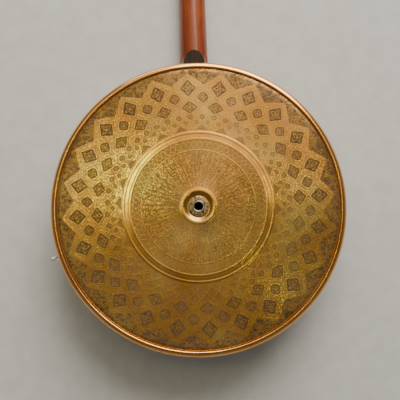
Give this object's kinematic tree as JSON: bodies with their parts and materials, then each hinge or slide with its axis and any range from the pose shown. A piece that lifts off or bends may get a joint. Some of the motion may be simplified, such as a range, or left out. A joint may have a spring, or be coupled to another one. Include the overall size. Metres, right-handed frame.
{
  "type": "resonator banjo",
  "caption": "Banjo with a round pot closed by an engraved brass resonator, a long fretted neck and geared pegs that turn to tune its strings.",
  "frame": {"origin": "mouth of the hole in the middle of the resonator's back, level with the crest of its bead", "axes": "+Z out of the back along the pot's axis, +Y along the neck towards the peghead; the strings face -Z"},
  "size_m": [0.3453, 0.8627, 0.0892],
  "materials": {
    "engraved_brass": "engraved and polished",
    "spun_brass": "polished",
    "plated_steel": "nickel plated",
    "bell_brass": "satin",
    "mahogany": "gloss lacquer",
    "maple": "satin lacquer",
    "ebony": "oiled",
    "skin": "frosted",
    "bone": "polished",
    "pearl": "pearly",
    "fret_wire": "polished",
    "string_wire": "drawn wire"
  },
  "bodies": {
    "banjo": {"brace_screw": "plated_steel", "bracket_hooks": "plated_steel", "bridge": "maple", "bridge_cap": "ebony", "dowel_screw": "plated_steel", "dowel_stick": "maple", "fingerboard": "ebony", "flange": "spun_brass", "flesh_hoop": "bell_brass", "frets": "fret_wire", "head": "skin", "heel_cap": "ebony", "hook_nuts": "plated_steel", "neck": "mahogany", "neck_brace": "plated_steel", "nut": "bone", "peghead_overlay": "ebony", "position_dots": "pearl", "resonator_back": "engraved_brass", "resonator_bolt": "plated_steel", "resonator_post": "plated_steel", "resonator_side": "spun_brass", "resonator_washer": "spun_brass", "strap_pin": "plated_steel", "strap_pin_nut": "plated_steel", "string_1": "string_wire", "string_2": "string_wire", "string_3": "string_wire", "string_4": "string_wire", "tailpiece": "plated_steel", "tailpiece_bolt": "plated_steel", "tailpiece_nut": "plated_steel", "tailpiece_spacer": "plated_steel", "tension_hoop": "plated_steel", "tone_ring": "bell_brass", "tuner_bushing_1": "plated_steel", "tuner_bushing_2": "plated_steel", "tuner_bushing_3": "plated_steel", "tuner_bushing_4": "plated_steel", "tuner_housing_1": "plated_steel", "tuner_housing_2": "plated_steel", "tuner_housing_3": "plated_steel", "tuner_housing_4": "plated_steel", "wood_rim": "maple"},
    "button_1": {"tuner_button_1": "pearl"},
    "post_1": {"tuner_post_1": "plated_steel"},
    "button_2": {"tuner_button_2": "pearl"},
    "post_2": {"tuner_post_2": "plated_steel"},
    "button_3": {"tuner_button_3": "pearl"},
    "post_3": {"tuner_post_3": "plated_steel"},
    "button_4": {"tuner_button_4": "pearl"},
    "post_4": {"tuner_post_4": "plated_steel"}
  },
  "joints": [
    {"name": "button_1_turn", "type": "hinge", "parent": "banjo", "child": "button_1", "pos_m": [-0.0155, 0.57443, -0.06738], "axis": [0, -0.1822, 0.9833], "continuous": true},
    {"name": "post_1_turn", "type": "hinge", "parent": "banjo", "child": "post_1", "pos_m": [-0.0155, 0.57443, -0.06738], "axis": [0, -0.1822, 0.9833], "continuous": true},
    {"name": "button_2_turn", "type": "hinge", "parent": "banjo", "child": "button_2", "pos_m": [-0.0195, 0.63146, -0.05681], "axis": [0, -0.1822, 0.9833], "continuous": true},
    {"name": "post_2_turn", "type": "hinge", "parent": "banjo", "child": "post_2", "pos_m": [-0.0195, 0.63146, -0.05681], "axis": [0, -0.1822, 0.9833], "continuous": true},
    {"name": "button_3_turn", "type": "hinge", "parent": "banjo", "child": "button_3", "pos_m": [0.0195, 0.63146, -0.05681], "axis": [0, -0.1822, 0.9833], "continuous": true},
    {"name": "post_3_turn", "type": "hinge", "parent": "banjo", "child": "post_3", "pos_m": [0.0195, 0.63146, -0.05681], "axis": [0, -0.1822, 0.9833], "continuous": true},
    {"name": "button_4_turn", "type": "hinge", "parent": "banjo", "child": "button_4", "pos_m": [0.0155, 0.57443, -0.06738], "axis": [0, -0.1822, 0.9833], "continuous": true},
    {"name": "post_4_turn", "type": "hinge", "parent": "banjo", "child": "post_4", "pos_m": [0.0155, 0.57443, -0.06738], "axis": [0, -0.1822, 0.9833], "continuous": true}
  ],
  "couplings": [
    {"joint": "post_1_turn", "follows": "button_1_turn", "ratio": 0.25},
    {"joint": "post_2_turn", "follows": "button_2_turn", "ratio": 0.25},
    {"joint": "post_3_turn", "follows": "button_3_turn", "ratio": 0.25},
    {"joint": "post_4_turn", "follows": "button_4_turn", "ratio": 0.25}
  ]
}
